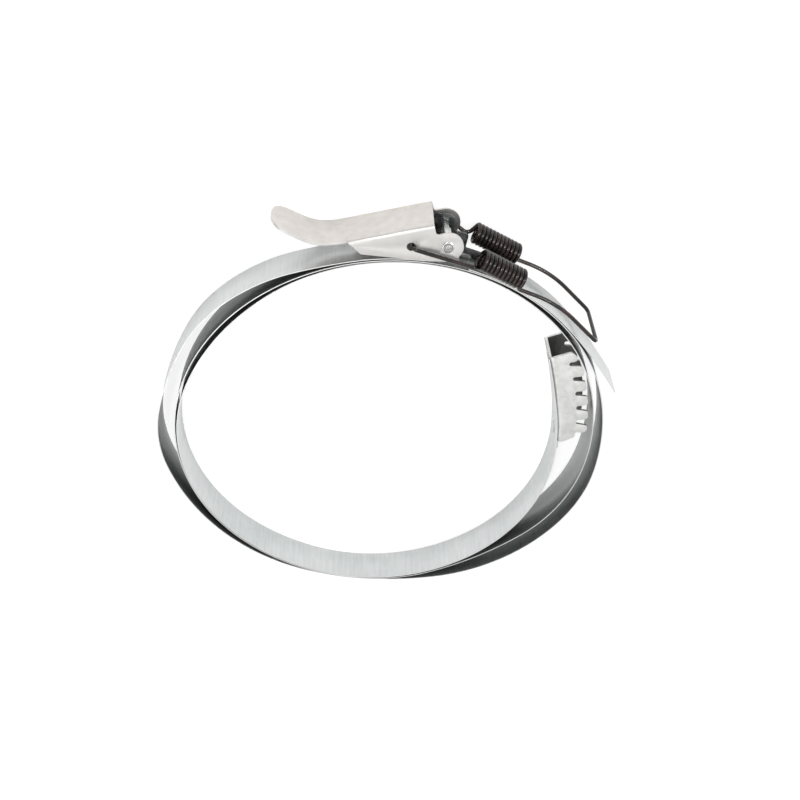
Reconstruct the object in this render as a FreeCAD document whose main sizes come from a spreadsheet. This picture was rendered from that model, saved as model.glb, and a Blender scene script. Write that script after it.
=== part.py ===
import FreeCAD, Part
import math
import os

# Dust cup clamp: one long band strip wound into a coil, a slotted catch and a
# toggle latch (bracket, lever, spring bail) welded to its outside.
# The origin is the middle of the coil at mid-width, +Z is along the band's width,
# the latch is on -Y and the catch on -X.

SIZES = [
    ("band_width", 19.0),
    ("band_sheet", 0.5),
    ("coil_radius", 110.0),
    ("catch_width", 19.0),
    ("catch_sheet", 1.2),
    ("catch_bend", 1.9),
    ("catch_wall", 15.7),
    ("catch_length", 56.0),
    ("catch_tongue", 6.0),
    ("slot_width", 2.3),
    ("slot_depth", 6.5),
    ("slot_pitch", 9.6),
    ("pivot_stand_off", 10.8),
    ("pivot_angle", -106.35),
    ("ear_clearance", 0.2),
    ("bracket_sheet", 1.2),
    ("bracket_ear_radius", 5.8),
    ("bracket_wall", 8.2),
    ("bracket_ahead", 8.0),
    ("bracket_behind", 13.0),
    ("foot_length", 39.0),
    ("foot_width", 17.0),
    ("foot_rounding", 3.0),
    ("pin_bore", 3.22),
    ("rivet_diameter", 3.2),
    ("rivet_head_diameter", 5.6),
    ("rivet_head_height", 0.45),
    ("spacer_diameter", 4.8),
    ("spacer_bore", 3.3),
    ("spacer_length", 12.4),
    ("head_gap", 0.04),
    ("lever_heading", 9.8),
    ("lever_width", 24.0),
    ("lever_sheet", 1.25),
    ("tab_width", 21.2),
    ("lever_bend", 2.0),
    ("lever_ear_radius", 7.2),
    ("lever_bore", 3.3),
    ("web_start", 4.1),
    ("web_end", 45.2),
    ("lever_face", 12.9),
    ("flange_drop", 8.9),
    ("hook_hole", 4.4),
    ("hook_along", 15.5),
    ("hook_out", 3.5),
    ("tip_rounding", 8.0),
    ("wire_diameter", 2.0),
    ("wire_gap", 0.75),
    ("spring_inset", 2.25),
    ("bail_outset", 2.5),
    ("spring_radius", 4.3),
    ("spring_pitch", 2.1),
    ("spring_turns", 11.0),
    ("spring_stand_off", 9.3),
    ("spring_angle", -114.46),
    ("spring_heading", 147.7),
]

doc = FreeCAD.newDocument("dust_cup_clamp")
sheet = doc.addObject("Spreadsheet::Sheet", "sizes")
for row, (alias, value) in enumerate(SIZES, 1):
    sheet.set("A%d" % row, alias)
    sheet.set("B%d" % row, str(value))
    sheet.setAlias("B%d" % row, alias)
doc.recompute()


def size(alias):
    return float(sheet.get(alias))


V = FreeCAD.Vector
UP = V(0, 0, 1)


def polar(radius, degrees):
    angle = math.radians(degrees)
    return V(radius * math.cos(angle), radius * math.sin(angle), 0)


# Plane curves: tangent arcs through points, and outlines with rounded corners.


class Bow:
    """A circular arc in plan, walked from its first to its last bearing."""

    def __init__(self, centre, radius, first, last):
        self.centre = centre
        self.radius = radius
        self.first = first
        self.last = last

    def side_radius(self, offset):
        """Radius of the arc moved by offset to the left of the walk."""
        return self.radius - offset * math.copysign(1.0, self.last - self.first)

    def start(self, offset=0.0):
        return self.centre + polar(self.side_radius(offset), math.degrees(self.first))

    def end(self, offset=0.0):
        return self.centre + polar(self.side_radius(offset), math.degrees(self.last))

    def curve(self, offset=0.0):
        low, high = sorted((self.first, self.last))
        return Part.ArcOfCircle(Part.Circle(self.centre, UP, self.side_radius(offset)), low, high)

    def bearing_at(self, degrees):
        """Bearing where the ray at this angle round the origin meets the arc."""
        ray = polar(1.0, degrees)
        along = ray.dot(self.centre)
        reach = along + math.sqrt(along ** 2 - self.centre.dot(self.centre) + self.radius ** 2)
        spot = ray * reach - self.centre
        bearing = math.atan2(spot.y, spot.x)
        middle = 0.5 * (self.first + self.last)
        return bearing + 2 * math.pi * round((middle - bearing) / (2 * math.pi))


def unit(vector):
    return vector * (1.0 / vector.Length)


def bow_from(start, way, end):
    """The arc that leaves start along way and reaches end."""
    chord = end - start
    lean = chord.dot(V(-way.y, way.x, 0))
    if abs(lean) < 1e-5:
        lean = 1e-5
    signed = chord.dot(chord) / (2.0 * lean)
    centre = start + V(-way.y, way.x, 0) * signed
    first = math.atan2(start.y - centre.y, start.x - centre.x)
    last = math.atan2(end.y - centre.y, end.x - centre.x)
    if signed > 0 and last < first:
        last += 2 * math.pi
    if signed < 0 and last > first:
        last -= 2 * math.pi
    return Bow(centre, abs(signed), first, last)


def tangents(points):
    """Direction at every point, from the circle through it and its neighbours."""
    ways = []
    for index in range(len(points)):
        middle = min(max(index, 1), len(points) - 2)
        before = points[middle] - points[middle - 1]
        after = points[middle + 1] - points[middle]
        way = unit(before * (1.0 / before.Length ** 2) + after * (1.0 / after.Length ** 2))
        if index != middle:
            chord = unit(before if index < middle else after)
            way = chord * (2.0 * chord.dot(way)) - way
        ways.append(way)
    return ways


def smooth_run(points):
    """Tangent arcs through the points, two for each gap."""
    bows = []
    ways = tangents(points)
    for start, end, way, next_way in zip(points, points[1:], ways, ways[1:]):
        chord = end - start
        along = chord.dot(way + next_way)
        lag = 2.0 * (1.0 - way.dot(next_way))
        if lag < 1e-9:
            reach = chord.dot(chord) / (2.0 * along)
        else:
            reach = (math.sqrt(along ** 2 + lag * chord.dot(chord)) - along) / lag
        corner_in = start + way * reach
        corner_out = end - next_way * reach
        middle = (corner_in + corner_out) * 0.5
        bows.append(bow_from(start, way, middle))
        bows.append(bow_from(middle, unit(corner_out - corner_in), end))
    return bows


def strip(bows, right, left):
    """Closed outline of a sheet that follows the arcs between two offsets."""
    first, last = bows[0], bows[-1]
    curves = [bow.curve(left) for bow in bows] + [bow.curve(right) for bow in bows]
    curves.append(Part.LineSegment(first.start(right), first.start(left)))
    curves.append(Part.LineSegment(last.end(right), last.end(left)))
    return curves


def rounded(corners, closed=True):
    """Lines between corners (point, radius), with each corner rounded by its radius."""
    count = len(corners)
    curves = []
    ends = []
    for index, (point, radius) in enumerate(corners):
        edge = not closed and index in (0, count - 1)
        if radius <= 0 or edge:
            ends.append((point, point))
            continue
        back = unit(corners[index - 1][0] - point)
        ahead = unit(corners[(index + 1) % count][0] - point)
        half = 0.5 * back.getAngle(ahead)
        cut = radius / math.tan(half)
        centre = point + unit(back + ahead) * (radius / math.sin(half))
        start = point + back * cut
        stop = point + ahead * cut
        middle = centre + unit(point - centre) * radius
        curves.append(Part.Arc(start, middle, stop))
        ends.append((start, stop))
    for index in range(count if closed else count - 1):
        here = ends[index][1]
        there = ends[(index + 1) % count][0]
        if (there - here).Length > 1e-6:
            curves.append(Part.LineSegment(here, there))
    return curves


# Document helpers: bodies whose sketches lie on their own XY plane.


def origin_plane(body, role):
    for feature in body.Origin.OriginFeatures:
        if feature.Role == role:
            return feature
    raise ValueError(role)


def sketch_on(body, name, curves, role="XY_Plane"):
    drawing = body.newObject("Sketcher::SketchObject", name)
    drawing.AttachmentSupport = [(origin_plane(body, role), "")]
    drawing.MapMode = "FlatFace"
    drawing.addGeometry(curves, False)
    return drawing


def pad(body, name, drawing, length):
    """Symmetric pad whose length is bound to the sheet."""
    feature = body.newObject("PartDesign::Pad", name)
    feature.Profile = drawing
    feature.SideType = "Symmetric"
    feature.setExpression("Length", length)
    doc.recompute()
    return feature


def pocket(body, name, drawing, length="2 * sizes.lever_width"):
    """Symmetric pocket, right through the piece when no length is given."""
    feature = body.newObject("PartDesign::Pocket", name)
    feature.Profile = drawing
    feature.SideType = "Symmetric"
    feature.setExpression("Length", length)
    doc.recompute()
    return feature


def body_of(name):
    body = doc.addObject("PartDesign::Body", name)
    body.Label = name
    return body


def round_edges(body, name, chosen, radius):
    """Fillet the edges of the body's tip that chosen(edge) picks."""
    base = body.Tip
    names = ["Edge%d" % (i + 1) for i, edge in enumerate(base.Shape.Edges) if chosen(edge)]
    feature = body.newObject("PartDesign::Fillet", name)
    feature.Base = (base, names)
    feature.setExpression("Radius", radius)
    doc.recompute()
    return feature


# The coil: one strip of a little over three turns, walked clockwise from the catch
# end. Each point is the angle walked round the coil and the stand-off from its radius.

COIL = [
    (209, -13.3), (195, -18.2), (180, -18.7), (165, -16.4), (150, -13.0), (120, -5.5),
    (90, 0.3), (45, 1.2), (0, -0.7), (-45, -5.2), (-75, -3.4), (-105, -1.5), (-135, -0.4),
    (-160, 0.3), (-180, 0.2), (-210, 0.9), (-244, -2.1), (-270, 1.3), (-315, 2.0),
    (-360, 0.2), (-405, -2.2), (-435, -2.1), (-465, -0.6), (-495, 1.8), (-522, 4.2),
    (-540, 5.3), (-570, 9.0), (-585, 8.6), (-606, 6.5), (-630, 2.4), (-675, 4.8),
    (-703, 7.2), (-720, 9.0), (-743, 6.3), (-765, 5.6), (-781, 3.0), (-797, -0.3),
    (-812, -0.3), (-825, 0.3), (-855, 2.5), (-873, 5.1), (-883, 8.5), (-889, 12.1),
]
coil_points = [polar(size("coil_radius") + out, angle) for angle, out in COIL]
coil_bows = smooth_run(coil_points)
half_sheet = size("band_sheet") / 2


def coil_part(first, last):
    """Arcs of the strip between two walked angles."""
    chosen = []
    for (here, _), (there, _), number in zip(COIL, COIL[1:], range(len(COIL))):
        for bow in coil_bows[2 * number:2 * number + 2]:
            if there >= first or here <= last:
                continue
            start = bow.bearing_at(first)
            stop = bow.bearing_at(last)
            low, high = sorted((bow.first, bow.last))
            begin = start if first < here and low < start < high else bow.first
            finish = stop if last > there and low < stop < high else bow.last
            ahead = math.copysign(1, bow.last - bow.first)
            if first < here and (start - bow.last) * ahead >= 0:
                continue
            if last > there and (stop - bow.first) * ahead <= 0:
                continue
            chosen.append(Bow(bow.centre, bow.radius, begin, finish))
    return chosen


band = body_of("band_strip")
band_outline = sketch_on(band, "band_outline", strip(coil_bows, -half_sheet, half_sheet))
pad(band, "band_pad", band_outline, "sizes.band_width")

# The catch: a channel standing on the inner turn's outside, its two walls slotted
# for the bail's crossbar, with a flat tongue behind. Places on its walls are given by
# the height along Y and by how far they stand off the turn.


def walked(length, stand_off=0.0):
    """Angle that a length along the coil covers at this stand-off from its radius."""
    return math.degrees(length / (size("coil_radius") + stand_off))


CATCH_FIRST = 209.0
CATCH_INSET = -17.0
catch_last = CATCH_FIRST - walked(size("catch_length"), CATCH_INSET)
tongue_last = catch_last - walked(size("catch_tongue"), CATCH_INSET)
catch_bows = coil_part(CATCH_FIRST, catch_last)
catch = body_of("catch")
inside = half_sheet + size("catch_sheet")
base_start = catch_bows[0].start(half_sheet)


def wall_point(height, stand):
    """Point of the catch's side drawing at a height above the base's start."""
    y = base_start.y + height
    bow = catch_bows[0]
    for candidate in catch_bows:
        if candidate.start(half_sheet).y <= y:
            bow = candidate
    radius = bow.side_radius(half_sheet)
    return V(bow.centre.x - math.sqrt(radius ** 2 - (y - bow.centre.y) ** 2) - stand, y, 0)


SLOTS = 5
FIRST_SLOT = 3.9
FIRST_LEAN = 4.4
LEAN_STEP = 3.0
WALL_BULGE = 0.9
LEAD_DROP = 3.5
LEAD_SHARE = 0.76
wall = size("catch_wall")
half_slot = size("slot_width") / 2
catch_edge = [(base_start, 0), (wall_point(-LEAD_DROP, wall * LEAD_SHARE), 1.9)]
for number in range(SLOTS):
    lean = math.radians(FIRST_LEAN + LEAN_STEP * number)
    inwards = V(math.cos(lean), -math.sin(lean), 0)
    across = V(math.sin(lean), math.cos(lean), 0)
    bulge = WALL_BULGE * math.sin(math.pi * number / (SLOTS - 1))
    root_height = FIRST_SLOT + size("slot_pitch") * number
    mouth = wall_point(root_height + size("slot_depth") * math.sin(lean), wall + bulge)
    root = mouth + inwards * size("slot_depth")
    low_root = root - across * half_slot
    low_mouth = V(mouth.x, low_root.y - 0.4, 0)
    catch_edge.append((low_mouth, 2.1))
    catch_edge.append((low_root, half_slot * 0.9))
    catch_edge.append((root + across * half_slot, half_slot * 0.9))
    catch_edge.append((mouth + across * half_slot, 0.8))
last_root = FIRST_SLOT + size("slot_pitch") * (SLOTS - 1)
catch_edge += [
    (wall_point(last_root + 8.2, wall + 0.2), 2.5),
    (wall_point(last_root + 7.3, wall * 0.6), 0.8),
    (wall_point(last_root + 10.6, wall * 0.58), 1.6),
    (catch_bows[-1].end(half_sheet + size("catch_bend") + 1.2), 0.8),
    (catch_bows[-1].end(half_sheet), 0),
]
catch_outline = rounded(catch_edge, closed=False)
catch_outline += [bow.curve(half_sheet) for bow in catch_bows]
pad(catch, "catch_pad", sketch_on(catch, "catch_side", catch_outline), "sizes.catch_width")


def is_catch_heel(edge):
    """Long edges of the base, where the walls turn up."""
    middle = edge.valueAt(0.5 * (edge.FirstParameter + edge.LastParameter))
    flat = abs(abs(middle.z) - size("catch_width") / 2) < 1e-4
    if not flat or edge.Curve.TypeId != "Part::GeomCircle":
        return False
    return any(
        (edge.Curve.Center - V(bow.centre.x, bow.centre.y, edge.Curve.Center.z)).Length < 1e-4
        and abs(edge.Curve.Radius - bow.side_radius(half_sheet)) < 1e-4
        for bow in catch_bows
    )


round_edges(catch, "catch_heel", is_catch_heel, "sizes.catch_bend")
hollow_bows = coil_part(CATCH_FIRST, catch_last - walked(1.5, CATCH_INSET))
hollow = [bow.curve(inside) for bow in hollow_bows]
hollow_start = hollow_bows[0].start(inside)
hollow_end = hollow_bows[-1].end(inside)
entry_way = unit(hollow_start - catch_bows[0].start(inside + 1.0))
lead_in = V(entry_way.y, -entry_way.x, 0) * 3.0
clear_x = hollow_end.x - 2 * wall
corners = [
    hollow_start,
    hollow_start + lead_in,
    V(clear_x, hollow_start.y - wall, 0),
    V(clear_x, hollow_end.y + wall / 2, 0),
    V(hollow_end.x - 1.5, hollow_end.y + wall / 2, 0),
    hollow_end,
]
hollow += [Part.LineSegment(here, there) for here, there in zip(corners, corners[1:])]
pocket(catch, "catch_hollow", sketch_on(catch, "catch_inside", hollow),
       "sizes.catch_width - 2 * sizes.catch_sheet")
tongue_side = strip(coil_part(catch_last + walked(3.0, CATCH_INSET), tongue_last), half_sheet, inside)
pad(catch, "catch_tongue", sketch_on(catch, "tongue_side", tongue_side),
    "sizes.catch_width - 2 * sizes.catch_bend")

# The bracket: a foot on the outer turn, and two walls whose ears carry the rivet.

pivot = polar(size("coil_radius") + size("pivot_stand_off"), size("pivot_angle"))
outward = unit(pivot)
onward = V(-outward.y, outward.x, 0)
bracket_half = size("lever_width") / 2 - size("lever_sheet") - size("ear_clearance")


def at_pivot(along, out):
    return pivot + onward * along + outward * out


OUTER_TURN = -720.0
pivot_walk = OUTER_TURN + size("pivot_angle")
wall_first = pivot_walk + walked(size("bracket_ahead"))
wall_last = pivot_walk - walked(size("bracket_behind"))
foot_last = pivot_walk - walked(size("foot_length"))
bracket_bows = coil_part(wall_first, wall_last)
bracket = body_of("bracket")
ear = size("bracket_ear_radius")
seat = -size("pivot_stand_off")
wall_top = seat + size("bracket_wall")
bracket_edge = [
    (bracket_bows[0].start(half_sheet), 0),
    (at_pivot(ear * 1.2, seat + 3.2), 1.5),
    (at_pivot(ear, ear), ear * 0.98),
    (at_pivot(-ear, ear), ear * 0.98),
    (at_pivot(-ear, wall_top), 1.5),
    (at_pivot(0.4 - size("bracket_behind"), wall_top), 2.0),
    (bracket_bows[-1].end(half_sheet), 0),
]
bracket_outline = rounded(bracket_edge, closed=False)
bracket_outline += [bow.curve(half_sheet) for bow in bracket_bows]
BRACKET_WIDTH = "(sizes.lever_width - 2 * sizes.lever_sheet - 2 * sizes.ear_clearance)"
pad(bracket, "bracket_pad", sketch_on(bracket, "bracket_side", bracket_outline), BRACKET_WIDTH)
plate = half_sheet + size("bracket_sheet")
bracket_hollow = [bow.curve(plate) for bow in bracket_bows]
beyond = 4 * ear
corners = [
    bracket_bows[0].start(plate),
    at_pivot(beyond, seat + 4.0),
    at_pivot(beyond, beyond),
    at_pivot(-beyond, beyond),
    at_pivot(-beyond, seat + 4.0),
    bracket_bows[-1].end(plate),
]
bracket_hollow += [Part.LineSegment(here, there) for here, there in zip(corners, corners[1:])]
pocket(bracket, "bracket_hollow", sketch_on(bracket, "bracket_inside", bracket_hollow),
       BRACKET_WIDTH + " - 2 * sizes.bracket_sheet")
foot_side = strip(coil_part(wall_last + walked(3.0), foot_last), half_sheet, plate)
pad(bracket, "foot_pad", sketch_on(bracket, "foot_side", foot_side), "sizes.foot_width")
foot_tip = coil_part(wall_last, foot_last)[-1].end(half_sheet)


def is_foot_corner(edge):
    """Short edges through the sheet at the foot's two free corners."""
    ends = [vertex.Point for vertex in edge.Vertexes]
    return len(ends) == 2 and all(
        math.hypot(p.x - foot_tip.x, p.y - foot_tip.y) < 1.5 * size("bracket_sheet")
        and abs(abs(p.z) - size("foot_width") / 2) < 1e-4 for p in ends
    ) and abs(edge.Length - size("bracket_sheet")) < 1e-3


round_edges(bracket, "foot_corners", is_foot_corner, "sizes.foot_rounding")
bore = Part.Circle(pivot, UP, size("pin_bore") / 2)
pocket(bracket, "bracket_bore", sketch_on(bracket, "bracket_bore_circle", [bore]))

# The rivet, turned about the pivot line, and the loose spacer tube on its shank.

rivet = body_of("pivot_rivet")
reach = size("lever_width") / 2 + size("head_gap")
head = reach + size("rivet_head_height")
shank = size("rivet_diameter") / 2
cap = size("rivet_head_diameter") / 2
DISH = 0.3
dish_floor = 0.3 * cap + 0.06
dish_rim = 0.48 * cap
half_turned = [
    (0, DISH - head), (dish_floor, DISH - head), (dish_rim, -head), (cap - DISH, -head),
    (cap, DISH - head), (cap, -reach), (shank, -reach), (shank, reach), (cap, reach),
    (cap, head - DISH), (cap - DISH, head), (dish_rim, head), (dish_floor, head - DISH),
    (0, head - DISH),
]
turned = [Part.LineSegment(V(a[0], a[1], 0), V(b[0], b[1], 0))
          for a, b in zip(half_turned, half_turned[1:] + half_turned[:1])]
rivet_profile = sketch_on(rivet, "rivet_profile", turned, "XZ_Plane")
rivet_turn = rivet.newObject("PartDesign::Revolution", "rivet_turn")
rivet_turn.Profile = rivet_profile
rivet_turn.ReferenceAxis = (rivet_profile, ["V_Axis"])
rivet_turn.Angle = 360
rivet.Placement = FreeCAD.Placement(pivot, FreeCAD.Rotation())

spacer = body_of("spacer_tube")
rings = [Part.Circle(V(0, 0, 0), UP, size(name) / 2) for name in ("spacer_diameter", "spacer_bore")]
spacer_pad = pad(spacer, "spacer_pad", sketch_on(spacer, "spacer_rings", rings), "sizes.spacer_length")
spacer_middle = bracket_half - size("bracket_sheet") - size("spacer_length") / 2
spacer.Placement = FreeCAD.Placement(pivot + UP * spacer_middle, FreeCAD.Rotation())

# The lever, drawn along X from its pivot: a channel with two ears, open towards the
# band, and a finger tab that curls away. It is turned to its heading afterwards.

lever = body_of("lever")
face = size("lever_face")
web_start = size("web_start")
web_end = size("web_end")
drop = -size("flange_drop")
round_ear = size("lever_ear_radius")
EAR_END = 234.0
ear_end = polar(round_ear, EAR_END) + polar(0.4, EAR_END + 90.0)
lever_side = rounded([
    (V(web_start, face, 0), 0),
    (V(web_end, face, 0), 0),
    (V(web_end - 2.2, face - 2.7, 0), 4.0),
    (V(web_end - 5.0, face - 7.7, 0), 2.0),
    (V(9.5, drop + 3.4, 0), 20.0),
    (V(ear_end.x, drop, 0), 1.0),
    (ear_end, 0.3),
    (V(-round_ear, -round_ear * math.tan(math.radians((EAR_END - 180.0) / 2)), 0), round_ear * 0.98),
    (V(-round_ear, round_ear, 0), round_ear * 0.97),
    (V(web_start, round_ear, 0), 1.2),
])
pad(lever, "lever_pad", sketch_on(lever, "lever_side", lever_side), "sizes.lever_width")


def is_lever_fold(edge):
    """Outer edges where the web turns down into the flanges."""
    ends = [vertex.Point for vertex in edge.Vertexes]
    return len(ends) == 2 and abs(ends[0].z - ends[1].z) < 1e-4 and all(
        abs(p.y - face) < 1e-4 and abs(abs(p.z) - size("lever_width") / 2) < 1e-4 for p in ends
    )


round_edges(lever, "lever_fold", is_lever_fold, "sizes.lever_bend")
under = face - size("lever_sheet")
beyond = 1.3 * web_end
lever_hollow = rounded([
    (V(-beyond, under, 0), 0), (V(beyond, under, 0), 0), (V(beyond, -beyond, 0), 0),
    (V(-beyond, -beyond, 0), 0),
])
pocket(lever, "lever_hollow", sketch_on(lever, "lever_inside", lever_hollow),
       "sizes.lever_width - 2 * sizes.lever_sheet")

TAB = [(-2.0, 0.0), (6.8, 0.3), (11.8, 1.2), (16.8, 3.6), (22.0, 7.6), (31.2, 16.0)]
tab_bows = smooth_run([V(web_end + along, face + out, 0) for along, out in TAB])
tab_side = strip(tab_bows, -size("lever_sheet"), 0)
pad(lever, "tab_pad", sketch_on(lever, "tab_side", tab_side), "sizes.tab_width")


def is_tip_corner(edge):
    """Short edges through the sheet at the tab's two free corners."""
    ends = [vertex.Point for vertex in edge.Vertexes]
    return len(ends) == 2 and all(
        p.x > web_end + TAB[-1][0] - 2 and abs(abs(p.z) - size("tab_width") / 2) < 1e-4 for p in ends
    ) and abs(edge.Length - size("lever_sheet")) < 1e-3


round_edges(lever, "tab_corners", is_tip_corner, "sizes.tip_rounding")
HOOK_CLEARANCE = 0.06
slack = (size("hook_hole") - size("wire_diameter")) / 2 - HOOK_CLEARANCE
pull = math.radians(157.3 - size("lever_heading"))
hook_centre = V(size("hook_along") - slack * math.cos(pull), size("hook_out") + slack * math.sin(pull), 0)
bores = [
    Part.Circle(V(0, 0, 0), UP, size("lever_bore") / 2),
    Part.Circle(hook_centre, UP, size("hook_hole") / 2),
]
pocket(lever, "lever_bores", sketch_on(lever, "lever_bore_circles", bores))
turn = FreeCAD.Rotation(UP, size("lever_heading"))

# The lever is drawn with its face towards +Y; the face points outwards, so the
# drawing is turned over about its length as it is placed.

flip = FreeCAD.Rotation(V(1, 0, 0), 180)
lever.Placement = FreeCAD.Placement(pivot, turn * flip)

# The spring bail: one wire. Each side is a hook through the lever's flange, a
# close-wound spring and a leg to the crossbar.

wire = size("wire_diameter") / 2


def pipe_along(start, end):
    return Part.makeCylinder(wire, (end - start).Length, start, end - start)


def bend_between(start, corner, end, radius):
    """Round wire bend that replaces a corner; returns its two ends and the solid."""
    back = unit(start - corner)
    ahead = unit(end - corner)
    half = 0.5 * back.getAngle(ahead)
    cut = radius / math.tan(half)
    first = corner + back * cut
    last = corner + ahead * cut
    centre = corner + unit(back + ahead) * (radius / math.sin(half))
    axis = unit(back.cross(ahead)) * -1.0
    disc = Part.Face(Part.Wire(Part.Circle(first, back * -1.0, wire).toShape()))
    angle = 180 - math.degrees(2 * half)
    return first, last, disc.revolve(centre, axis, angle)


def wire_through(corners):
    """Solids of a wire through corners (point, bend radius)."""
    solids = []
    here = corners[0][0]
    for index in range(1, len(corners) - 1):
        point, radius = corners[index]
        first, last, solid = bend_between(corners[index - 1][0], point, corners[index + 1][0], radius)
        solids.append(pipe_along(here, first))
        solids.append(solid)
        here = last
    solids.append(pipe_along(here, corners[-1][0]))
    return solids


# Both coils are wound the same way, so one takes its wire on the band's side and the
# other on the outside. A half knows which way is out (up) and where its wire comes in.

along_spring = polar(1.0, size("spring_heading"))
to_band = V(along_spring.y, -along_spring.x, 0)
wire_side = size("lever_width") / 2 + wire + size("wire_gap")
spring_side = wire_side - size("spring_inset")
bail_side = spring_side + size("bail_outset")
spring_seat = polar(size("coil_radius") + size("spring_stand_off"), size("spring_angle"))
hook_point = lever.Placement.multVec(V(size("hook_along"), size("hook_out"), 0))
leg_corner = polar(size("coil_radius") + 9.9, -135.98)
bar_corner = polar(size("coil_radius") + 12.1, -150.83)
STUB = 2.0
SPAN = math.hypot(size("spring_radius"), STUB)
STUB_ANGLE = math.atan2(STUB, size("spring_radius"))


def raised(point, side, up):
    return V(point.x, point.y, 0) + up * side


def half_bail(up, towards, start, turns, dips):
    """Hook, close-wound spring and leg of one side, as far as the crossbar's middle."""
    enter = STUB_ANGLE - math.asin(size("spring_inset") / SPAN)
    climb = math.asin(size("bail_outset") / SPAN)
    leaves_low = round(2 * turns) % 2 == 0
    leave = 2 * math.pi * turns + (-climb - STUB_ANGLE if leaves_low else climb - STUB_ANGLE)
    pitch = size("spring_pitch")
    axis_start = raised(start, spring_side, up)

    def on_spring(angle):
        radial = towards * math.cos(angle) - up * math.sin(angle)
        return axis_start + along_spring * (pitch * angle / (2 * math.pi)) + radial * size("spring_radius")

    def way(angle):
        along = along_spring * (pitch / (2 * math.pi * size("spring_radius")))
        return unit(along - towards * math.sin(angle) - up * math.cos(angle))

    rise = pitch * (leave - enter) / (2 * math.pi)
    helix = Part.makeHelix(pitch, rise, size("spring_radius"))
    frame = FreeCAD.Matrix(
        towards.x, -up.x, along_spring.x, 0,
        towards.y, -up.y, along_spring.y, 0,
        towards.z, -up.z, along_spring.z, 0,
        0, 0, 0, 1,
    )
    swing = FreeCAD.Placement(V(0, 0, pitch * enter / (2 * math.pi)),
                              FreeCAD.Rotation(UP, math.degrees(enter)))
    helix.Placement = FreeCAD.Placement(axis_start, FreeCAD.Rotation(frame)).multiply(swing)
    section = Part.Wire(Part.Circle(on_spring(enter), way(enter), wire).toShape())
    spring = Part.Wire(helix.Edges).makePipeShell([section], True, True)
    hook_end = size("lever_width") / 2 - size("lever_sheet") - 1.2
    hook = wire_through(
        [(raised(hook_point, hook_end, up), 0), (raised(hook_point, wire_side, up), 1.6)]
        + [(raised(point, wire_side, up), 3.0) for point in dips]
        + [(raised(on_spring(enter) - way(enter) * STUB, wire_side, up), 1.5), (on_spring(enter), 0)]
    )
    leg = wire_through([
        (on_spring(leave), 0),
        (on_spring(leave) + way(leave) * STUB, 1.5),
        (raised(leg_corner, bail_side, up), 60.0),
        (raised(bar_corner, bail_side, up), 2.6),
        (bar_corner, 0),
    ])
    return spring.multiFuse(hook + leg)


near_half = half_bail(UP, to_band, spring_seat, size("spring_turns"), [])
far_start = spring_seat - along_spring * (size("spring_pitch") / 2)
dip = [
    polar(size("coil_radius") + 9.9, -108.7),
    polar(size("coil_radius") + 6.3, -112.65),
]
far_half = half_bail(UP * -1.0, to_band * -1.0, far_start, size("spring_turns") + 0.5, dip)
bail = doc.addObject("Part::Feature", "spring_bail")
bail.Label = "spring_bail"
bail.Shape = near_half.fuse(far_half).removeSplitter()
bail.Placement = FreeCAD.Placement()

doc.recompute()
nodes = [band, catch, bracket, rivet, spacer, lever, bail]
for item in doc.Objects:
    if "Invalid" in item.State or "Error" in item.State:
        raise RuntimeError("%s: %s" % (item.Name, item.State))
os.makedirs("parts", exist_ok=True)
for node in nodes:
    if node.Shape.isNull() or not node.Shape.isValid() or len(node.Shape.Solids) != 1:
        raise RuntimeError("%s is not one valid solid" % node.Label)
    node.Shape.exportStep(os.path.join("parts", node.Label + ".step"))
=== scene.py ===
"""Dust cup clamp: finishes, pressed details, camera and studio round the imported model."""

import logging
import math
from dataclasses import dataclass, field
from enum import Enum
from typing import Dict, List, Optional, Tuple, Union

import bpy
from mathutils import Matrix, Vector


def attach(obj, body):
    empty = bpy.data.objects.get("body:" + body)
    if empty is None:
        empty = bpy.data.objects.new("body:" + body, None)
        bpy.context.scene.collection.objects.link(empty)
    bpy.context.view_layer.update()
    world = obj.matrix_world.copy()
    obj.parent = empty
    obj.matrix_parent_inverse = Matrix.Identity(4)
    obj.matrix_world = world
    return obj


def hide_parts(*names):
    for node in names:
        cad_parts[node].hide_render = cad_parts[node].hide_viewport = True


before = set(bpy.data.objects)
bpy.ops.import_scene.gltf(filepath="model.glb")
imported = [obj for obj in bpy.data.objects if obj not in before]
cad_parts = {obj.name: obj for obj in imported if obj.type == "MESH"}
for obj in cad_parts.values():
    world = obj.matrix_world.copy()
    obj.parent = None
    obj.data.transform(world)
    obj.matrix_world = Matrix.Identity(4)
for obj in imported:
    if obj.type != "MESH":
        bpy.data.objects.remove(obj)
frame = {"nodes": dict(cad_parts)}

logging.basicConfig(level=logging.INFO, format="%(message)s")
LOG = logging.getLogger("dust_cup_clamp")

Colour = Tuple[float, float, float]
Place = Tuple[float, float, float]
Point = Tuple[float, float]
Span = Tuple[float, float]
Step = Tuple[float, float]
Inputs = Dict[Union[int, str], object]

MM = 0.001
WHITE = (1.0, 1.0, 1.0)
UNIT_SPAN = (0.0, 1.0)
GLOSS_SPAN = (0.3, 0.7)
# Span of the upright normal over which the painted highlight rises.
HIGHLIGHT_SPAN = (0.3, 0.8)
# Span of the channel mask that deepens the painted shade on inner wall faces.
CHANNEL_SHADE_SPAN = (-4.0 * MM, -0.5 * MM)
# Samples of the occlusion that drives the painted shade in recesses.
RECESS_SHADE_SAMPLES = 8
SPANGLE_SCALE = 260.0
STREAK_NOISE = {"Scale": 1.0, "Detail": 3.0, "Roughness": 0.6}
CLOUD_NOISE = {"Detail": 4.0, "Roughness": 0.62}
TURNED_SMOOTH = math.radians(35.0)


class Node(Enum):
    """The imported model's nodes."""

    BAND = "band_strip"
    CATCH = "catch"
    BRACKET = "bracket"
    RIVET = "pivot_rivet"
    SPACER = "spacer_tube"
    LEVER = "lever"
    BAIL = "spring_bail"


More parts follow.
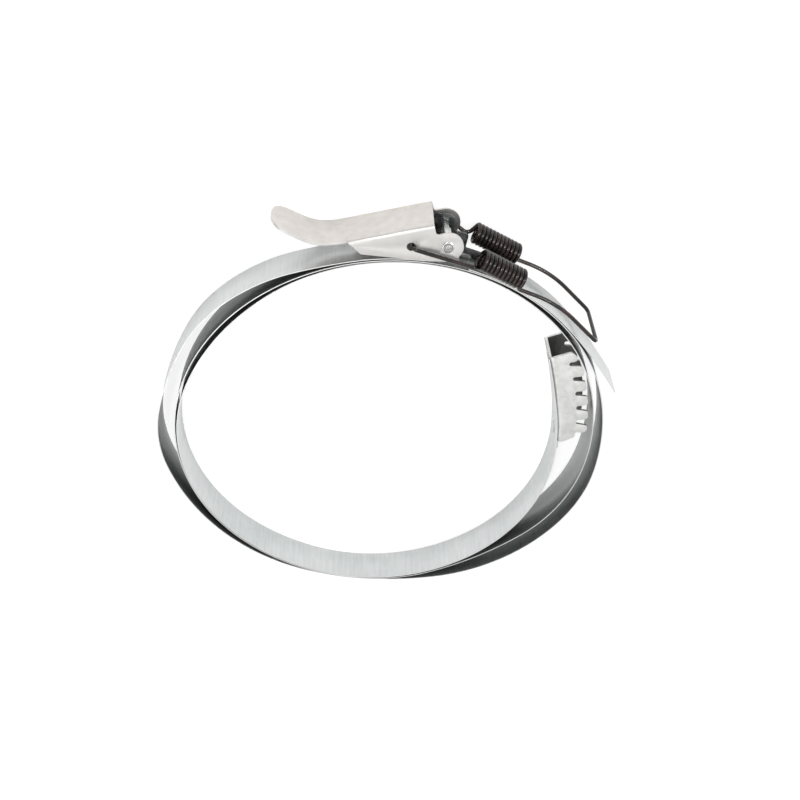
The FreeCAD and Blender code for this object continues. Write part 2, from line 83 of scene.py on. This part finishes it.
class Grain(Enum):
    """Direction in which a finish is drawn out, as noise scales along X, Y and Z."""

    ACROSS_BAND = (900.0, 900.0, 45.0)
    EVEN = (420.0, 420.0, 420.0)
    ALONG_LEVER = (140.0, 620.0, 620.0)
    FINE = (700.0, 700.0, 700.0)


# Short ways to build node trees.


def fill_inputs(tree: bpy.types.NodeTree, node: bpy.types.Node, inputs: Inputs) -> None:
    """Set or link a node's inputs.

    Args:
        tree: The tree that holds the node.
        node: The node.
        inputs: A value, a colour or a source socket for each input's name or index.
    """
    for name, value in inputs.items():
        socket = node.inputs[name]
        if isinstance(value, bpy.types.NodeSocket):
            tree.links.new(value, socket)
        elif socket.type == "RGBA":
            socket.default_value = (*value, 1.0)
        else:
            socket.default_value = value


def add_node(tree: bpy.types.NodeTree, kind: str, inputs: Optional[Inputs] = None,
             **settings: object) -> bpy.types.Node:
    """Add a node.

    Args:
        tree: The tree to add it to.
        kind: The node's type.
        inputs: What fill_inputs takes.
        settings: The node's own properties, such as its operation.

    Returns:
        The new node.
    """
    node = tree.nodes.new(kind)
    for name, value in settings.items():
        setattr(node, name, value)
    fill_inputs(tree, node, inputs or {})
    return node


def calculate(tree: bpy.types.NodeTree, operation: str, *values: object) -> bpy.types.NodeSocket:
    """Add a piece of arithmetic.

    Args:
        tree: The tree to add it to.
        operation: What it does, such as "MULTIPLY".
        values: Its numbers or source sockets.

    Returns:
        The result.
    """
    return add_node(tree, "ShaderNodeMath", dict(enumerate(values)), operation=operation).outputs[0]


def remap(tree: bpy.types.NodeTree, mask: bpy.types.NodeSocket, span: Span,
          target: Span = UNIT_SPAN) -> bpy.types.NodeSocket:
    """Spread one span of a mask over another.

    Args:
        tree: The tree to add to.
        mask: The mask.
        span: Its values at the ends.
        target: What the ends become.

    Returns:
        The new mask.
    """
    return add_node(tree, "ShaderNodeMapRange", {
        "Value": mask, "From Min": span[0], "From Max": span[1],
        "To Min": target[0], "To Max": target[1]}).outputs["Result"]


def mix(tree: bpy.types.NodeTree, kind: str, share: object, first: object,
        second: object) -> bpy.types.NodeSocket:
    """Mix two numbers or two colours.

    Args:
        tree: The tree to add to.
        kind: "FLOAT" or "RGBA".
        share: The second one's share.
        first: Value or socket.
        second: Value or socket.

    Returns:
        The mixture.
    """
    return add_node(tree, "ShaderNodeMix", data_type=kind, inputs={
        "Factor": share, "A": first, "B": second}).outputs["Result"]


def ramp(tree: bpy.types.NodeTree, mask: bpy.types.NodeSocket, span: Span, low: Colour,
         high: Colour) -> bpy.types.NodeSocket:
    """Turn a mask into a colour between two.

    Args:
        tree: The tree to add to.
        mask: The mask.
        span: Where in the mask the two colours lie.
        low: Colour at the span's start.
        high: Colour at the span's end.

    Returns:
        The colour.
    """
    node = add_node(tree, "ShaderNodeValToRGB", {"Fac": mask})
    for index, colour in enumerate((low, high)):
        node.color_ramp.elements[index].position = span[index]
        node.color_ramp.elements[index].color = (*colour, 1.0)
    return node.outputs["Color"]


def split(tree: bpy.types.NodeTree, vector: bpy.types.NodeSocket,
          part: str) -> bpy.types.NodeSocket:
    """Take one part of a vector.

    Args:
        tree: The tree to add to.
        vector: The vector.
        part: "X", "Y" or "Z".

    Returns:
        That part.
    """
    return add_node(tree, "ShaderNodeSeparateXYZ", {"Vector": vector}).outputs[part]


def new_material(name: str) -> Tuple[bpy.types.Material, bpy.types.NodeTree, bpy.types.Node]:
    """Start a material.

    Args:
        name: The material's name.

    Returns:
        The material, its tree and its shader.
    """
    material = bpy.data.materials.new(name)
    material.use_nodes = True
    return material, material.node_tree, material.node_tree.nodes["Principled BSDF"]


# Effect groups shared by the finishes.


def group_socket(tree: bpy.types.NodeTree, name: str, kind: str, value: object = None,
                 out: bool = False) -> None:
    """Add one socket to a node group.

    Args:
        tree: The group's tree.
        name: Socket name.
        kind: Short socket type, such as "Float".
        value: Default value of an input.
        out: True for an output.
    """
    socket = tree.interface.new_socket(
        name=name, in_out="OUTPUT" if out else "INPUT", socket_type="NodeSocket" + kind)
    if value is not None:
        socket.default_value = value


def drawn_grain_group() -> bpy.types.NodeTree:
    """Fine streaks drawn out along one direction.

    Returns:
        A group that turns a scaled position into a streak mask and a cloud mask.
    """
    tree = bpy.data.node_groups.new("drawn_grain", "ShaderNodeTree")
    group_socket(tree, "Stretch", "Vector")
    group_socket(tree, "Cloud Scale", "Float")
    group_socket(tree, "Streak", "Float", out=True)
    group_socket(tree, "Cloud", "Float", out=True)
    taken = add_node(tree, "NodeGroupInput")
    place = add_node(tree, "ShaderNodeTexCoord").outputs["Object"]
    scaled = add_node(tree, "ShaderNodeVectorMath", {0: place, 1: taken.outputs["Stretch"]},
                      operation="MULTIPLY")
    streak = add_node(tree, "ShaderNodeTexNoise",
                      {"Vector": scaled.outputs["Vector"], **STREAK_NOISE})
    cloud = add_node(tree, "ShaderNodeTexNoise",
                     {"Vector": place, "Scale": taken.outputs["Cloud Scale"], **CLOUD_NOISE})
    add_node(tree, "NodeGroupOutput",
             {"Streak": streak.outputs["Fac"], "Cloud": cloud.outputs["Fac"]})
    return tree


def spangle_group() -> bpy.types.NodeTree:
    """Zinc crystals: flat patches that each differ a little in tone.

    Returns:
        A group with a patch mask from 0 to 1.
    """
    tree = bpy.data.node_groups.new("zinc_spangle", "ShaderNodeTree")
    group_socket(tree, "Scale", "Float", SPANGLE_SCALE)
    group_socket(tree, "Patch", "Float", out=True)
    taken = add_node(tree, "NodeGroupInput")
    place = add_node(tree, "ShaderNodeTexCoord").outputs["Object"]
    cells = add_node(tree, "ShaderNodeTexVoronoi",
                     {"Vector": place, "Scale": taken.outputs["Scale"]}, feature="F1")
    parted = add_node(tree, "ShaderNodeSeparateColor", {"Color": cells.outputs["Color"]})
    add_node(tree, "NodeGroupOutput", {"Patch": parted.outputs["Red"]})
    return tree


@dataclass(frozen=True)
class SheetFinish:
    """A zinc-coated sheet steel surface, with painted shade in its recesses and a painted highlight
    on faces that look along the coil's axis.
    """

    name: str
    light: Colour
    dark: Colour
    roughness: Span
    grain: Grain
    streak: float
    cloud_scale: float
    spangle: float
    bump: float
    # Reach, tone and span of the painted shade in gaps, grooves and channels.
    recess_shade_reach: float
    recess_shade_tone: Colour
    recess_shade_range: Span
    # Share of extra painted shade on the inner faces of a channel's walls.
    inside_shade_share: float = 0.0
    contrast: Span = (0.41, 0.59)
    # Tone and strength of the painted highlight on faces that look along the coil's axis.
    highlight_tone: Colour = (0.90, 0.90, 0.89)
    highlight_strength: float = 0.0
    metallic: float = 0.9
    bump_distance: float = 0.04 * MM

    def make(self, grain_tree: bpy.types.NodeTree,
             spangle_tree: bpy.types.NodeTree) -> bpy.types.Material:
        """Build the material.

        Args:
            grain_tree: The drawn-grain group.
            spangle_tree: The zinc-crystal group.

        Returns:
            The finished material.
        """
        material, tree, shader = new_material(self.name)
        grain = add_node(tree, "ShaderNodeGroup", node_tree=grain_tree, inputs={
            "Stretch": self.grain.value, "Cloud Scale": self.cloud_scale})
        spangle = add_node(tree, "ShaderNodeGroup", node_tree=spangle_tree)
        streaked = mix(tree, "FLOAT", self.streak, grain.outputs["Cloud"], grain.outputs["Streak"])
        patched = mix(tree, "FLOAT", self.spangle, streaked, spangle.outputs["Patch"])
        tone = ramp(tree, patched, self.contrast, self.dark, self.light)
        relief = add_node(tree, "ShaderNodeBump", {
            "Strength": self.bump, "Distance": self.bump_distance,
            "Height": grain.outputs["Streak"]})
        fill_inputs(tree, shader, {
            "Metallic": self.metallic,
            # Base colour with a painted highlight on faces along the axis and painted shade in
            # recesses.
            "Base Color": self.painted_recess_shade(tree, self.painted_axial_highlight(tree, tone)),
            "Roughness": remap(tree, patched, GLOSS_SPAN, self.roughness),
            "Normal": relief.outputs["Normal"]})
        return material

    def painted_axial_highlight(self, tree: bpy.types.NodeTree,
             colour: bpy.types.NodeSocket) -> bpy.types.NodeSocket:
        """Brighten the sheared edges, which face along the coil's axis.

        Args:
            tree: The material's tree.
            colour: The colour so far.

        Returns:
            The colour with the painted highlight.
        """
        if not self.highlight_strength:
            return colour
        facing = add_node(tree, "ShaderNodeNewGeometry").outputs["Normal"]
        upright = calculate(tree, "ABSOLUTE", split(tree, facing, "Z"))
        share = remap(tree, upright, HIGHLIGHT_SPAN, (0.0, self.highlight_strength))
        return mix(tree, "RGBA", share, colour, self.highlight_tone)

    def painted_recess_shade(self, tree: bpy.types.NodeTree,
                 colour: bpy.types.NodeSocket) -> bpy.types.NodeSocket:
        """Paint shade into gaps, grooves and channels, darkening the colour where other surfaces
        close in.

        Args:
            tree: The material's tree.
            colour: The colour so far.

        Returns:
            The colour with dulled recesses.
        """
        occlusion = add_node(tree, "ShaderNodeAmbientOcclusion", {"Distance": self.recess_shade_reach},
                          samples=RECESS_SHADE_SAMPLES, only_local=True)
        share = remap(tree, occlusion.outputs["AO"], self.recess_shade_range)
        # Extra painted shade on the inner faces of channel walls.
        if self.inside_shade_share:
            share = calculate(tree, "MULTIPLY", share, self.channel_shade_mask(tree))
        return mix(tree, "RGBA", share, self.recess_shade_tone, colour)

    def channel_shade_mask(self, tree: bpy.types.NodeTree) -> bpy.types.NodeSocket:
        """A mask that is low on the inner faces of a channel's walls, to deepen the painted shade
        there.

        These faces look towards the plane through the middle of the band's width.

        Args:
            tree: The material's tree.

        Returns:
            The mask.
        """
        facing = add_node(tree, "ShaderNodeNewGeometry").outputs["Normal"]
        place = add_node(tree, "ShaderNodeTexCoord").outputs["Object"]
        away = calculate(tree, "MULTIPLY", split(tree, facing, "Z"), split(tree, place, "Z"))
        return remap(tree, away, CHANNEL_SHADE_SPAN, (1.0 - self.inside_shade_share, 1.0))


@dataclass(frozen=True)
class WireFinish:
    """Dark tempered spring wire with a thin oil film."""

    name: str = "tempered_wire"
    scale_dark: Colour = (0.008, 0.006, 0.005)
    scale_brown: Colour = (0.040, 0.024, 0.020)
    contrast: Span = (0.38, 0.66)
    roughness: Span = (0.16, 0.34)
    metallic: float = 0.35
    oil: float = 0.4
    oil_roughness: float = 0.06
    grain: Grain = Grain.FINE
    cloud_scale: float = 120.0
    bump: float = 0.12
    bump_distance: float = 0.05 * MM

    def make(self, grain_tree: bpy.types.NodeTree) -> bpy.types.Material:
        """Build the material.

        Args:
            grain_tree: The drawn-grain group.

        Returns:
            The finished material.
        """
        material, tree, shader = new_material(self.name)
        grain = add_node(tree, "ShaderNodeGroup", node_tree=grain_tree, inputs={
            "Stretch": self.grain.value, "Cloud Scale": self.cloud_scale})
        cloud, streak = grain.outputs["Cloud"], grain.outputs["Streak"]
        relief = add_node(tree, "ShaderNodeBump", {
            "Strength": self.bump, "Distance": self.bump_distance, "Height": streak})
        fill_inputs(tree, shader, {
            "Metallic": self.metallic,
            "Coat Weight": self.oil,
            "Coat Roughness": self.oil_roughness,
            "Base Color": ramp(tree, cloud, self.contrast, self.scale_dark, self.scale_brown),
            "Roughness": remap(tree, streak, GLOSS_SPAN, self.roughness),
            "Normal": relief.outputs["Normal"]})
        return material


# In each finish below, the dark recess tone is painted shade in gaps, grooves and channels, and the
# bright rim tone is a painted highlight.
BAND_ZINC = SheetFinish(
    "galvanised_band", light=(0.68, 0.695, 0.69), dark=(0.50, 0.52, 0.518),
    roughness=(0.26, 0.40), grain=Grain.ACROSS_BAND, streak=0.55, cloud_scale=30.0,
    spangle=0.05, bump=0.07, recess_shade_reach=0.030, recess_shade_tone=(0.018, 0.021, 0.022),
    recess_shade_range=(-0.08, 0.82), highlight_strength=0.95, contrast=(0.30, 0.70))
WELD_ZINC = SheetFinish(
    "galvanised_weld", light=(0.78, 0.79, 0.78), dark=(0.45, 0.46, 0.46),
    roughness=(0.26, 0.42), grain=Grain.EVEN, streak=0.5, cloud_scale=300.0,
    spangle=0.1, bump=0.1, recess_shade_reach=0.0010, recess_shade_tone=(0.02, 0.02, 0.02),
    recess_shade_range=(0.65, 0.98))
CATCH_ZINC = SheetFinish(
    "galvanised_catch", light=(0.88, 0.88, 0.86), dark=(0.62, 0.63, 0.60),
    roughness=(0.32, 0.52), grain=Grain.EVEN, streak=0.12, cloud_scale=300.0,
    spangle=0.14, bump=0.3, recess_shade_reach=0.014, recess_shade_tone=(0.075, 0.077, 0.075),
    recess_shade_range=(0.40, 0.90), inside_shade_share=0.80, contrast=(0.30, 0.60),
    highlight_strength=0.5, highlight_tone=(0.93, 0.93, 0.905))
LEVER_ZINC = SheetFinish(
    "galvanised_lever", light=(0.70, 0.67, 0.64), dark=(0.55, 0.52, 0.495),
    roughness=(0.34, 0.50), grain=Grain.ALONG_LEVER, streak=0.18, cloud_scale=190.0,
    spangle=0.09, bump=0.2, recess_shade_reach=0.012, recess_shade_tone=(0.06, 0.06, 0.06),
    recess_shade_range=(0.35, 0.85), inside_shade_share=0.75, contrast=(0.26, 0.66),
    highlight_strength=0.6, highlight_tone=(0.90, 0.895, 0.875))
RIVET_ZINC = SheetFinish(
    "galvanised_rivet", light=(0.86, 0.86, 0.85), dark=(0.52, 0.53, 0.52),
    roughness=(0.22, 0.42), grain=Grain.EVEN, streak=0.4, cloud_scale=300.0,
    spangle=0.15, bump=0.12, recess_shade_reach=0.0010, recess_shade_tone=(0.04, 0.04, 0.04),
    recess_shade_range=(0.60, 0.97))
# The bracket's near-black tones are painted shade from the lever and spring wire above it.
SHADED_BRACKET_ZINC = SheetFinish(
    "galvanised_bracket_painted_shade", light=(0.24, 0.245, 0.245), dark=(0.10, 0.105, 0.105),
    roughness=(0.20, 0.38), grain=Grain.EVEN, streak=0.3, cloud_scale=260.0,
    spangle=0.12, bump=0.2, recess_shade_reach=0.014, recess_shade_tone=(0.012, 0.012, 0.013),
    recess_shade_range=(0.25, 0.75))
SHEET_FINISHES = (BAND_ZINC, WELD_ZINC, CATCH_ZINC, LEVER_ZINC, RIVET_ZINC, SHADED_BRACKET_ZINC)
WIRE = WireFinish()


def dress(piece: bpy.types.Object, finish: str) -> None:
    """Put one finish in every slot of a piece.

    Args:
        piece: The piece.
        finish: The material's name.
    """
    material = bpy.data.materials[finish]
    slots = piece.data.materials
    if not slots:
        slots.append(material)
    for index in range(len(slots)):
        slots[index] = material


@dataclass
class Coating:
    """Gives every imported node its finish."""

    nodes: Dict[str, bpy.types.Object]
    finishes: Dict[Node, str] = field(default_factory=lambda: {
        Node.BAND: BAND_ZINC.name,
        Node.CATCH: CATCH_ZINC.name,
        Node.BRACKET: SHADED_BRACKET_ZINC.name,
        Node.RIVET: RIVET_ZINC.name,
        Node.SPACER: RIVET_ZINC.name,
        Node.LEVER: LEVER_ZINC.name,
        Node.BAIL: WIRE.name,
    })

    def build(self) -> None:
        """Make the materials and put them on the nodes."""
        grain_tree = drawn_grain_group()
        spangle_tree = spangle_group()
        for finish in SHEET_FINISHES:
            finish.make(grain_tree, spangle_tree)
        WIRE.make(grain_tree)
        for node, name in self.finishes.items():
            dress(self.nodes[node.value], name)
            LOG.info("coated %s with %s", node.value, name)


@dataclass(frozen=True)
class SoftEdged:
    """A sheet metal piece with the small rounded edges that shearing and plating leave."""

    node: Node
    body: str
    slot: str
    finish: str
    rounding: float
    segments: int = 2
    merged: float = 0.002 * MM
    flat: float = math.radians(0.4)
    sharp: float = math.radians(32.0)
    smooth: float = math.radians(40.0)

    def build(self, nodes: Dict[str, bpy.types.Object]) -> bpy.types.Object:
        """Round the node's edges on a copy that stands for it.

        Args:
            nodes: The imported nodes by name.

        Returns:
            The finished piece.
        """
        source = nodes[self.node.value]
        piece = source.copy()
        piece.data = source.data.copy()
        piece.name = self.node.value + "_soft"
        piece.data.name = piece.name
        piece.parent = None
        bpy.context.scene.collection.objects.link(piece)
        bpy.ops.object.select_all(action="DESELECT")
        piece.select_set(True)
        bpy.context.view_layer.objects.active = piece
        bpy.ops.object.mode_set(mode="EDIT")
        bpy.ops.mesh.select_all(action="SELECT")
        bpy.ops.mesh.remove_doubles(threshold=self.merged)
        bpy.ops.mesh.dissolve_limited(angle_limit=self.flat)
        bpy.ops.object.mode_set(mode="OBJECT")
        edges = piece.modifiers.new("rounded", "BEVEL")
        edges.width = self.rounding
        edges.segments = self.segments
        edges.limit_method = "ANGLE"
        edges.angle_limit = self.sharp
        edges.use_clamp_overlap = True
        bpy.ops.object.modifier_apply(modifier=edges.name)
        bpy.ops.object.shade_smooth_by_angle(angle=self.smooth)
        dress(piece, self.finish)
        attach(piece, self.body)
        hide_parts(self.node.value)
        LOG.info("rounded %s: %d faces", piece.name, len(piece.data.polygons))
        return piece


@dataclass(frozen=True)
class SwagedRivet:
    """The pivot rivet: a plain shank between two heads pressed in rings.

    Each ring is an inset and a rise in millimetres, from the head's rim to its middle.
    """

    centre: Point = (-34.0057 * MM, -115.9148 * MM)
    shank: float = 1.6 * MM
    seat: float = 12.04 * MM
    head: float = 2.8 * MM
    head_step: float = 0.28 * MM
    sides: int = 48
    merged: float = 0.001 * MM
    rings: Tuple[Step, ...] = (
        (0.16, 0.12), (0.42, 0.03), (0.10, -0.16), (0.16, 0.0), (0.10, 0.14),
        (0.40, 0.02), (0.12, -0.12), (0.20, 0.0), (0.12, 0.10), (0.34, 0.03))

    def build(self) -> bpy.types.Object:
        """Turn the rivet from a disc, ring by ring, and mirror it.

        Returns:
            The finished rivet.
        """
        bpy.ops.object.select_all(action="DESELECT")
        bpy.ops.mesh.primitive_circle_add(
            vertices=self.sides, radius=self.shank, fill_type="NGON",
            location=(*self.centre, 0.0))
        rivet = bpy.context.active_object
        rivet.name = "pivot_rivet_swaged"
        bpy.ops.object.transform_apply(location=True, rotation=True, scale=True)
        bpy.ops.object.mode_set(mode="EDIT")
        bpy.ops.mesh.select_all(action="SELECT")
        self.lift(self.seat)
        self.lift(0.0)
        spread = self.head / self.shank
        bpy.ops.transform.resize(
            value=(spread, spread, 1.0), center_override=(*self.centre, self.seat))
        self.lift(self.head_step)
        for inset, rise in self.rings:
            bpy.ops.mesh.inset(thickness=inset * MM, depth=rise * MM)
        bpy.ops.object.mode_set(mode="OBJECT")
        other_end = rivet.modifiers.new("other_end", "MIRROR")
        other_end.use_axis = (False, False, True)
        other_end.merge_threshold = self.merged
        bpy.ops.object.modifier_apply(modifier=other_end.name)
        bpy.ops.object.mode_set(mode="EDIT")
        bpy.ops.mesh.select_all(action="SELECT")
        bpy.ops.mesh.remove_doubles(threshold=self.merged)
        bpy.ops.mesh.normals_make_consistent(inside=False)
        bpy.ops.object.mode_set(mode="OBJECT")
        bpy.ops.object.shade_smooth_by_angle(angle=TURNED_SMOOTH)
        dress(rivet, RIVET_ZINC.name)
        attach(rivet, "band")
        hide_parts(Node.RIVET.value)
        LOG.info("turned %s: %d faces", rivet.name, len(rivet.data.polygons))
        return rivet

    @staticmethod
    def lift(height: float) -> None:
        """Extrude the selected disc along the rivet's axis.

        Args:
            height: How far, in metres.
        """
        bpy.ops.mesh.extrude_region_move(TRANSFORM_OT_translate={"value": (0.0, 0.0, height)})


@dataclass(frozen=True)
class WeldMark:
    """An oval pressed by the welding electrode on the inside of the innermost turn.

    Each step is an inset and a rise in millimetres, from the oval's rim to its middle.
    """

    name: str
    towards: Point
    half_length: float = 4.6 * MM
    half_width: float = 2.3 * MM
    sunk: float = 0.12 * MM
    skirt: float = 0.04 * MM
    seated_share: float = 0.4
    disc: float = 1.0 * MM
    sides: int = 40
    search_from: float = 60.0 * MM
    steps: Tuple[Step, ...] = (
        (0.10, 0.10), (0.35, 0.02), (0.15, -0.13), (0.30, 0.0), (0.15, 0.06), (0.5, 0.03))

    def build(self, band: bpy.types.Object) -> bpy.types.Object:
        """Press the oval out of a disc and lay it on the turn's inside.

        Args:
            band: The finished band, whose surface is looked up.

        Returns:
            The finished mark.
        """
        way = Vector((*self.towards, 0.0)).normalized()
        _, place, facing, _ = band.ray_cast(way * self.search_from, way)
        if facing.dot(way) > 0.0:
            facing = -facing
        bpy.ops.object.select_all(action="DESELECT")
        bpy.ops.mesh.primitive_circle_add(
            vertices=self.sides, radius=self.disc, fill_type="NGON")
        mark = bpy.context.active_object
        mark.name = self.name
        bpy.ops.object.mode_set(mode="EDIT")
        bpy.ops.mesh.select_all(action="SELECT")
        bpy.ops.transform.resize(
            value=(self.half_length / self.disc, self.half_width / self.disc, 1.0),
            center_override=(0.0, 0.0, 0.0))
        bpy.ops.mesh.extrude_region_move(
            TRANSFORM_OT_translate={"value": (0.0, 0.0, self.sunk + self.skirt)})
        for inset, rise in self.steps:
            bpy.ops.mesh.inset(thickness=inset * MM, depth=rise * MM)
        bpy.ops.object.mode_set(mode="OBJECT")
        along = Vector((0.0, 0.0, 1.0)).cross(facing).normalized()
        turn = Matrix((along, facing.cross(along), facing)).transposed().to_4x4()
        seat = place - facing * self.sunk * self.seated_share
        mark.data.transform(Matrix.Translation(seat) @ turn)
        bpy.ops.object.shade_smooth_by_angle(angle=TURNED_SMOOTH)
        dress(mark, WELD_ZINC.name)
        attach(mark, "band")
        LOG.info("pressed %s", self.name)
        return mark


WELD_MARKS = (
    WeldMark("weld_mark_mouth", (-85.6, -41.8)),
    WeldMark("weld_mark_tongue", (-91.9, 6.0)),
)
SOFT_PIECES = (
    SoftEdged(Node.BAND, "band", "band_zinc", BAND_ZINC.name, 0.13 * MM),
    SoftEdged(Node.CATCH, "band", "catch_zinc", CATCH_ZINC.name, 0.26 * MM),
    SoftEdged(Node.BRACKET, "band", "bracket_zinc", SHADED_BRACKET_ZINC.name, 0.22 * MM),
    SoftEdged(Node.LEVER, "lever", "lever_zinc", LEVER_ZINC.name, 0.28 * MM),
)


@dataclass(frozen=True)
class Lamp:
    """A square soft lamp aimed at the middle of the coil, in metres and watts."""

    name: str
    place: Place
    size: float
    energy: float

    def build(self) -> None:
        """Hang the lamp."""
        data = bpy.data.lights.new(self.name, "AREA")
        data.shape = "SQUARE"
        data.size = self.size
        data.energy = self.energy
        lamp = bpy.data.objects.new(self.name, data)
        bpy.context.scene.collection.objects.link(lamp)
        lamp.location = Vector(self.place)
        lamp.rotation_mode = "QUATERNION"
        lamp.rotation_quaternion = (-Vector(self.place)).to_track_quat("-Z", "Y")


LAMPS = (
    Lamp("key_soft", (0.45, 0.35, 0.9), 0.5, 0.9),
    Lamp("fill_soft", (-0.7, -0.4, 0.7), 0.6, 0.6),
    Lamp("glint_near", (0.12, -0.55, 0.75), 0.11, 2.0),
    Lamp("glint_side", (-0.55, -0.25, 0.6), 0.11, 1.1),
)


@dataclass(frozen=True)
class Studio:
    """Floor, sky, lamps and the camera.

    The floor leans a little: it touches the springs and rises along uphill by slope. Its
    paper has one tone in the camera's view and another for the light it throws on the part.
    """

    contact: Place = (-0.059, -0.102, -0.0168)
    contact_gap: float = 0.05 * MM
    uphill: Place = (0.534, 0.845, 0.0)
    slope: float = 0.0318
    floor_size: float = 6.0
    paper_roughness: float = 0.9
    paper_seen: Colour = (0.34, 0.34, 0.34)
    paper_thrown: Colour = (0.93, 0.93, 0.93)
    paper_glow: float = 0.78
    mirrored_share: float = 0.25
    dome_low: Colour = (0.42, 0.43, 0.44)
    dome_span: Span = (0.0, 0.75)
    dome_strength: float = 0.8
    camera_place: Place = (-0.0089, -0.383, 0.4475)
    pitch: float = math.radians(50.7)
    roll: float = math.radians(177.6)
    focal_mm: float = 49.5
    sensor_mm: float = 36.0
    clip: Span = (0.01, 20.0)

    def floor(self) -> bpy.types.Object:
        """A large white floor that touches the springs and the far edge of the band.

        Returns:
            The floor object.
        """
        bpy.ops.object.select_all(action="DESELECT")
        bpy.ops.mesh.primitive_plane_add(size=self.floor_size, location=(0.0, 0.0, 0.0))
        floor = bpy.context.active_object
        floor.name = "studio_floor"
        normal = (Vector((0.0, 0.0, 1.0)) - Vector(self.uphill) * self.slope).normalized()
        turn = normal.to_track_quat("Z", "Y").to_matrix().to_4x4()
        seat = Vector(self.contact) - normal * self.contact_gap
        floor.data.transform(Matrix.Translation(seat) @ turn)
        material, tree, shader = new_material("studio_white")
        path = add_node(tree, "ShaderNodeLightPath")
        by_camera = path.outputs["Is Camera Ray"]
        mirrored = calculate(
            tree, "MULTIPLY", path.outputs["Is Glossy Ray"], self.mirrored_share)
        seen = calculate(tree, "MAXIMUM", by_camera, mirrored)
        fill_inputs(tree, shader, {
            "Roughness": self.paper_roughness,
            "Specular IOR Level": 0.0,
            "Base Color": mix(tree, "RGBA", by_camera, self.paper_thrown, self.paper_seen),
            "Emission Color": WHITE,
            "Emission Strength": calculate(tree, "MULTIPLY", seen, self.paper_glow)})
        dress(floor, material.name)
        return floor

    def sky(self) -> None:
        """An even pale dome, white to the camera and a little darker near the horizon."""
        world = bpy.data.worlds.new("studio_dome")
        bpy.context.scene.world = world
        world.use_nodes = True
        tree = world.node_tree
        tree.nodes.clear()
        around = add_node(tree, "ShaderNodeTexCoord").outputs["Generated"]
        tone = ramp(tree, split(tree, around, "Z"), self.dome_span, self.dome_low, WHITE)
        dome = add_node(tree, "ShaderNodeBackground",
                        {"Color": tone, "Strength": self.dome_strength})
        white = add_node(tree, "ShaderNodeBackground", {"Color": WHITE})
        path = add_node(tree, "ShaderNodeLightPath")
        pick = add_node(tree, "ShaderNodeMixShader", {
            "Fac": path.outputs["Is Camera Ray"],
            1: dome.outputs["Background"], 2: white.outputs["Background"]})
        add_node(tree, "ShaderNodeOutputWorld", {"Surface": pick.outputs["Shader"]})

    def camera(self) -> bpy.types.Object:
        """The camera at the photograph's place.

        Returns:
            The camera object.
        """
        data = bpy.data.cameras.new("view")
        data.lens = self.focal_mm
        data.sensor_width = self.sensor_mm
        data.clip_start, data.clip_end = self.clip
        camera = bpy.data.objects.new("view", data)
        bpy.context.scene.collection.objects.link(camera)
        ahead = Vector((0.0, math.cos(self.pitch), -math.sin(self.pitch)))
        over = Vector((0.0, math.sin(self.pitch), math.cos(self.pitch)))
        side = Vector((1.0, 0.0, 0.0))
        right = side * math.cos(self.roll) + over * math.sin(self.roll)
        top = -side * math.sin(self.roll) + over * math.cos(self.roll)
        turn = Matrix((right, top, -ahead)).transposed().to_4x4()
        camera.matrix_world = Matrix.Translation(Vector(self.camera_place)) @ turn
        bpy.context.scene.camera = camera
        return camera

    def build(self) -> None:
        """Set up the whole studio."""
        self.floor()
        self.sky()
        for lamp in LAMPS:
            lamp.build()
        self.camera()
        bpy.context.scene.view_settings.view_transform = "Standard"
        LOG.info("studio ready")


def main() -> None:
    """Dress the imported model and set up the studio."""
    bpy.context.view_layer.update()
    Coating(frame["nodes"]).build()
    rounded = {piece.node: piece.build(frame["nodes"]) for piece in SOFT_PIECES}
    SwagedRivet().build()
    bpy.context.view_layer.update()
    for mark in WELD_MARKS:
        mark.build(rounded[Node.BAND])
    Studio().build()


if __name__ == "__main__":
    main()
